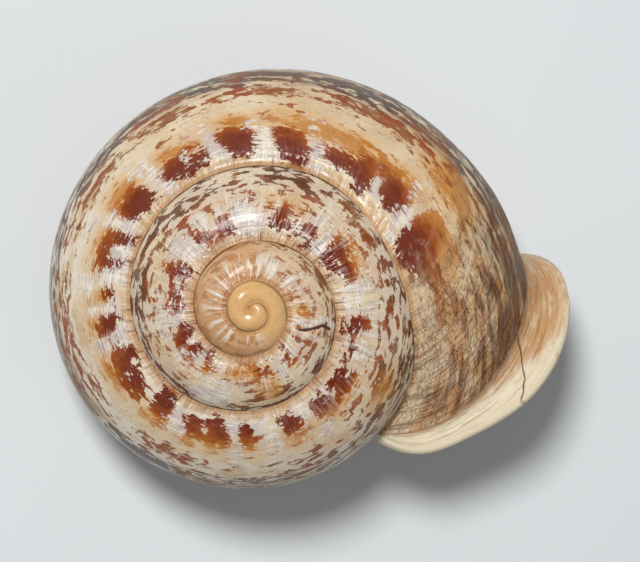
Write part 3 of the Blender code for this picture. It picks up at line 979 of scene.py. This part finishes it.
def last_quarter(p, s, look):
    """The last quarter's colour: tan and wrinkled, with brown streaks, and painted shade in umber
    towards its widest line.
    """
    near = p.rise(s.turn - s.across * 0.04, *NEAR_LIP)
    rust = p.mix(p.rise(s.streaky, 0.42, 0.58), look.ochre, look.brown)
    grooves = s.growth_fine * 0.4 + s.growth_broad * 0.6 - near * 0.04
    return p.coats(look.tan, [
        (look.cream, 1.0, (s.streaky * 0.8 + s.growth_broad * 0.2, 0.42, 0.60)),
        (look.honey, 0.6, (s.broad, 0.46, 0.60)),
        (look.brown, 1.0, (s.streaky * 0.7 + s.broad * 0.3, 0.47, 0.54), 0.70 - near * 0.40),
        (rust, 0.7, (s.island * 0.45 + s.broad * 0.55, 0.485, 0.545), (s.across, 0.10, 0.26)),
        # Umber rising towards the widest line, broken by streaks: painted shade on the flank that
        # turns away.
        (look.umber_and_shade, 0.66,
         (s.across + (s.streaky - MIDDLE) * 1.6 + s.broad_off, 0.54, 0.84)),
        (look.cream, 0.5, (s.across + s.broad_off * 0.3, 0.30, 0.12)),
        (look.umber_and_shade, 1.0, (grooves, 0.43, 0.36), 0.34 + near * 0.24, (s.across, 0.02, 0.22)),
        (look.brown, 0.45, (s.riblets, 0.47, 0.40), (s.across, 0.34, 0.10)),
        (look.cream, 0.55, near, (s.growth_broad * 0.5 + s.growth_fine * 0.5, 0.52, 0.60))])


def first_whorls(p, s, look):
    """Coats of ochre and white lines on the whorls before, the white lines partly pale striae and
    partly painted glints on the riblets' crests, and the plain tip.
    """
    tip = p.coats(look.tip, [(look.amber, 0.3, (s.drift, 0.4, 0.6))])
    return [
        (look.ochre, 1.0, (s.turn, -1.15, -1.4), s.grown_up,
         0.30 + p.rise(s.drift, 0.45, 0.58) * 0.45),
        # White lines on the riblets' crests of the second whorl: partly pale striae, partly painted
        # glints.
        (look.white, 0.75, (s.riblets * 0.7 + s.growth_fine * 0.3, 0.51, 0.57),
         (s.turn, -1.05, -1.25), s.grown_up, (s.across, 0.80, 0.40)),
        (tip, 1.0, s.early)]


def cracks_and_sutures(p, s, look):
    """Coats of fine cracks, the mended crack with its scar, and the suture with its tan rim and its
    dark line, which is partly a brown line and partly painted shade in the suture's groove.
    """
    scar = p.mix(p.rise(s.comb, 0.40, 0.55), look.lavender, look.white)
    return [
        (look.umber_and_shade, 1.0, s.crack, 0.22 + s.late * 0.20, (s.across, 0.2, 0.4)),
        (scar, 0.9, (s.healed + s.fine_off * 0.5 + s.island_off * 0.3, 0.22, 0.10)),
        (look.lining, 0.95, (s.broken + s.island_off * 0.15, 0.12, 0.06)),
        (look.ochre, 0.6, (s.inner_seam, 0.34, 0.18)),
        # Umber along the whorl's outer edge where it runs under the next: partly a brown line,
        # partly painted shade in the suture's groove.
        (look.umber_and_shade, 1.0, (s.outer_seam + s.broad_off * 1.4, 0.24, 0.04), 0.9 - s.early * 0.35)]


def lip_and_lining(p, s, look):
    """Coats of the lip, with the last quarter's tan running out into its cream and painted shade in
    the crease at its root, and the lining.
    """
    root, less = HAIR_CRACK
    out = s.turn + (s.stain - MIDDLE) - p.rise(s.across, 0.14, 0.36) * 0.8
    stained = s.stain - s.turn * 0.10 - p.rise(s.across, 0.35, 0.15) * 0.2
    hair = abs(s.across + s.turn * less - root + (s.stain - MIDDLE) * 0.010)
    lip = p.coats(look.tan, [
        (look.lip, 1.0, (out, -0.05, 0.35)),
        (look.ochre, 0.55, (stained, 0.46, 0.56)),
        (look.brown, 0.45, (s.ridge, 0.56, 0.64), (s.turn, 1.0, 0.6)),
        (look.lip, 0.45, (s.ridge * 0.5 + s.stain * 0.5, 0.50, 0.42)),
        # Umber at the lip's root: painted shade in the crease between the whorl and the curled lip.
        (look.umber_and_shade, 0.55, (s.turn + (s.ridge - MIDDLE) * 0.5, 0.18, 0.0)),
        (look.umber_and_shade, 0.85, (hair, *HAIR_LINE), (s.turn, 1.1, 0.9))])
    lining = p.mix(p.rise(s.drift, 0.4, 0.6), look.lining, look.maroon)
    return [(lip, 1.0, s.is_lip),
            (lining, 1.0, s.is_lip, (s.turn + s.cloud_off * 0.5, 1.55, 1.9)),
            (lining, 1.0, s.is_lining)]


def skin_bumps(p, s):
    """The finest lines, one bump over another: growth lines, wrinkles, riblets, lip and grain."""
    smooth = p.rise(s.turn, *FLATTENED)
    low = p.bump(s.growth_fine * 0.5 + s.fine * 0.3,
                 (1.0 - s.is_lip) * s.grown_up * (1.0 - s.inside * 0.8) * 0.4
                 * (1.0 - smooth * 0.6), 0.2 * MM)
    folds = p.bump(s.growth_broad * 0.7 + s.streaky * 0.3 - s.crack * 0.25,
                   s.late * (1.0 - s.is_lip) * 0.9, 0.6 * MM, low)
    ribbed = p.bump((s.riblets - MIDDLE) * (s.seam_band + s.band * (0.45 - s.last * 0.30))
                    * s.grown_up, 1.0 - smooth * 0.7, 0.7 * MM, folds)
    worn = p.bump(s.ridge * 0.6 + s.stain * 0.4, s.is_lip * 0.8, 0.3 * MM, ribbed)
    return p.bump(s.cloud, s.grown_up * 0.15, 0.1 * MM, worn)


def shell_paint(look):
    """The shell's material: mottled outside, pale lip and dark glossy inside."""
    p = Paint("shell_glaze")
    s = surface_values(p)
    brown = brown_mix(p, s, look)
    p.feed("Base Color", p.coats(look.cream, [
        *ground(s, look), *islands(s, brown), *blotches(p, s, look, brown),
        (last_quarter(p, s, look), 0.9, s.late), *first_whorls(p, s, look),
        *cracks_and_sutures(p, s, look), *lip_and_lining(p, s, look)]))
    glossy = p.rise(s.across, 0.5, 0.2) * (1.0 - s.late)
    p.feed("Roughness", 0.40 + s.cloud_off * 0.3 + s.late * 0.12 - glossy * 0.16
           - s.early * 0.10 - s.is_lining * 0.2 + s.is_lip * 0.14)
    p.feed("Coat Weight", (0.04 + glossy * (0.08 + s.last * 0.14) + s.early * 0.2)
           * (1.0 - s.is_lip) + s.is_lining * 0.3)
    p.feed("Specular IOR Level", 0.28)
    p.feed("Coat Roughness", 0.12)
    p.feed("Normal", skin_bumps(p, s))
    return p.material


FLECK, FLECK_SHARE, FLECK_SCALE, PAPER_ROUGHNESS = (0.5, 0.5, 0.5), 0.04, 40.0, 0.8


def paper_paint(colour):
    """The floor's plain pale paper, with faint grey flecks."""
    p = Paint("floor_paper")
    fleck = p.noise(p.node("ShaderNodeTexCoord", {}, {}, "Object"), FLECK_SCALE, 3.0)
    p.feed("Base Color", p.mix(p.rise(fleck, 0.3, 0.7) * FLECK_SHARE, colour, FLECK))
    p.feed("Roughness", PAPER_ROUGHNESS)
    return p.material


def colour_property(name, description, *seen):
    return bpy.props.FloatVectorProperty(name=name, description=description, size=3, min=0.0,
                                         max=1.0, subtype="COLOR", default=shade(*seen))


def height_property(name, description, default):
    return bpy.props.FloatProperty(name=name, description=description, default=default, min=0.0,
                                   max=0.2 * MM, precision=5, unit="LENGTH", subtype="DISTANCE")


class ShellLook(bpy.types.PropertyGroup):
    """Sizes and colours of the shell that a user would change."""

    wrinkle: height_property("Wrinkles", "Height of the last whorl's wrinkles", 0.07 * MM)
    rim: height_property("Suture rim", "Height of the rim beside the suture", 0.10 * MM)
    ripple: height_property("Lip ripple", "Height of the ridges along the lip", 0.06 * MM)
    cream: colour_property("Cream", "Ground colour", 230, 211, 178)
    tan: colour_property("Tan", "Clouds, last quarter and the lip's root", 206, 160, 112)
    ochre: colour_property("Ochre", "Rim at the suture and stains on the lip", 204, 146, 92)
    # White also paints glints, in part, along the crests of the growth lines and riblets.
    white: colour_property("White", "Gaps between the blotches and white lines", 240, 232, 216)
    lavender: colour_property("Lavender", "Greyish gaps in the band", 205, 192, 187)
    brown: colour_property("Brown", "Islands, dashes and streaks", 142, 80, 34)
    amber: colour_property("Amber", "Haze beyond the blotches", 222, 172, 104)
    honey: colour_property("Honey", "Outer ends of the blotches", 196, 128, 56)
    chestnut: colour_property("Chestnut", "Outer half of the blotches", 158, 76, 24)
    maroon: colour_property("Maroon", "Inner half of the blotches", 112, 34, 8)
    # Slate: partly dark streaks, partly painted shade of the flank round the last whorl's widest
    # line.
    slate_speckle_and_shade: colour_property("Slate", "Speckles round the widest line", 66, 60, 62)
    # Umber: the dusk is painted shade on the flanks, and the crease at the lip's root is painted
    # shade. The line at the suture is partly a brown line, partly painted shade in its groove.
    # Umber also paints real cracks, grooves and islands.
    umber_and_shade: colour_property("Umber", "Dusk, grooves and the line at the suture", 84, 54, 36)
    tip: colour_property("Tip", "First whorls", 228, 182, 126)
    lip: colour_property("Lip", "Outside of the curled lip", 238, 224, 194)
    lining: colour_property("Lining", "Inside of the mouth and the mended crack", 70, 36, 24)


class StageLook(bpy.types.PropertyGroup):
    """Floor and lights."""

    floor: colour_property("Floor", "Colour of the floor", 236, 240, 242)
    key: bpy.props.FloatProperty(
        name="Key light", description="Strength of the main light", default=1.75, min=0.0,
        unit="POWER")
    fill: bpy.props.FloatProperty(
        name="Fill light", description="Strength of the weaker light", default=0.25, min=0.0,
        unit="POWER")
    sky: bpy.props.FloatProperty(
        name="Sky", description="Strength of the even light from all round", default=0.16,
        min=0.0)


def placed(context, name, data):
    """A new object in the scene."""
    thing = bpy.data.objects.new(name, data)
    context.scene.collection.objects.link(thing)
    return thing


class SHELL_OT_shell(bpy.types.Operator):
    """Builds the coiled shell with its markings"""

    bl_idname = "snail_shell.shell"
    bl_label = "Shell"

    def execute(self, context):
        look = context.scene.shell_look
        mesh = shell_mesh(Coil(), look)
        mesh.materials.append(shell_paint(look))
        shell = placed(context, "painted_shell", mesh)
        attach(shell, "root")
        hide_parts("shell")
        return {"FINISHED"}


def soft_light(context, name, power, width, spot):
    lamp = bpy.data.lights.new(name, "AREA")
    lamp.energy, lamp.shape, lamp.size = power, "DISK", width
    light = placed(context, name, lamp)
    light.location = spot
    light.rotation_euler = (Vector(LIGHT_AIM) - Vector(spot)).to_track_quat("-Z", "Y").to_euler()


CAMERA_TILT = (3.0, 2.5)  # degrees from the coil's axis, towards +X and +Y
CAMERA_AIM = (4.855 * MM, 2.006 * MM, 0.25 * MM)  # right, up and along the axis from the tip
CAMERA_FAR = 220.0 * MM
CAMERA_LENS, SENSOR = 181.97, 36.0  # mm
CAMERA_CLIP = 10.0 * MM
FLOOR_HALF = 1.0
LIGHT_AIM = (0.0, 0.0, 0.008)
KEY_WIDTH, KEY_PLACE = 0.10, (-0.12, 0.20, 0.42)
FILL_WIDTH, FILL_PLACE = 0.40, (0.35, -0.25, 0.30)


class SHELL_OT_stage(bpy.types.Operator):
    """Lays the pale floor and sets the soft lights and the camera"""

    bl_idname = "snail_shell.stage"
    bl_label = "Stage"

    def execute(self, context):
        look = context.scene.shell_stage
        ground = bpy.data.meshes.new("floor")
        ground.from_pydata([(x * FLOOR_HALF, y * FLOOR_HALF, 0) for x, y in (
            (-1, -1), (1, -1), (1, 1), (-1, 1))], [], [(0, 1, 2, 3)])
        ground.materials.append(paper_paint(look.floor))
        floor = placed(context, "floor", ground)
        soft_light(context, "key_light", look.key, KEY_WIDTH, KEY_PLACE)
        soft_light(context, "fill_light", look.fill, FILL_WIDTH, FILL_PLACE)
        world = bpy.data.worlds.new("soft_sky")
        world.use_nodes = True
        sky = world.node_tree.nodes["Background"]
        sky.inputs["Color"].default_value = (1.0, 1.0, 1.0, 1.0)
        sky.inputs["Strength"].default_value = look.sky
        context.scene.world = world
        context.scene.view_settings.view_transform = "Standard"
        back = Vector([math.tan(math.radians(tilt)) for tilt in CAMERA_TILT] + [1.0]).normalized()
        right = Vector((0.0, 1.0, 0.0)).cross(back).normalized()
        up = back.cross(right)
        seen = Vector((0.0, 0.0, CAMERA_AIM[2])) + CAMERA_AIM[0] * right + CAMERA_AIM[1] * up
        turned = Matrix((right, up, back)).transposed().to_4x4()
        turned.translation = seen + CAMERA_FAR * back
        lens = bpy.data.cameras.new("camera")
        lens.sensor_fit, lens.sensor_width, lens.lens = "HORIZONTAL", SENSOR, CAMERA_LENS
        lens.clip_start = CAMERA_CLIP
        camera = placed(context, "camera", lens)
        camera.matrix_world = Matrix.Translation(SHIFT) @ resting_turn() @ turned
        context.scene.camera = camera
        return {"FINISHED"}


class SHELL_PT_panel(bpy.types.Panel):
    """Lists the pieces and their settings"""

    bl_idname = "SHELL_PT_panel"
    bl_label = "Snail Shell"
    bl_space_type = "VIEW_3D"
    bl_region_type = "UI"
    bl_category = "Snail Shell"

    def draw(self, context):
        for settings, operator in ((context.scene.shell_look, SHELL_OT_shell),
                                   (context.scene.shell_stage, SHELL_OT_stage)):
            box = self.layout.box()
            for name in settings.__annotations__:
                box.prop(settings, name)
            box.operator(operator.bl_idname)


CLASSES = (ShellLook, StageLook, SHELL_OT_shell, SHELL_OT_stage, SHELL_PT_panel)


def register():
    for made in CLASSES:
        bpy.utils.register_class(made)
    bpy.types.Scene.shell_look = bpy.props.PointerProperty(type=ShellLook)
    bpy.types.Scene.shell_stage = bpy.props.PointerProperty(type=StageLook)


def unregister():
    del bpy.types.Scene.shell_stage
    del bpy.types.Scene.shell_look
    for made in reversed(CLASSES):
        bpy.utils.unregister_class(made)


def main():
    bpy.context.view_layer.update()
    register()
    bpy.ops.snail_shell.shell()
    bpy.ops.snail_shell.stage()


if __name__ == "__main__":
    main()
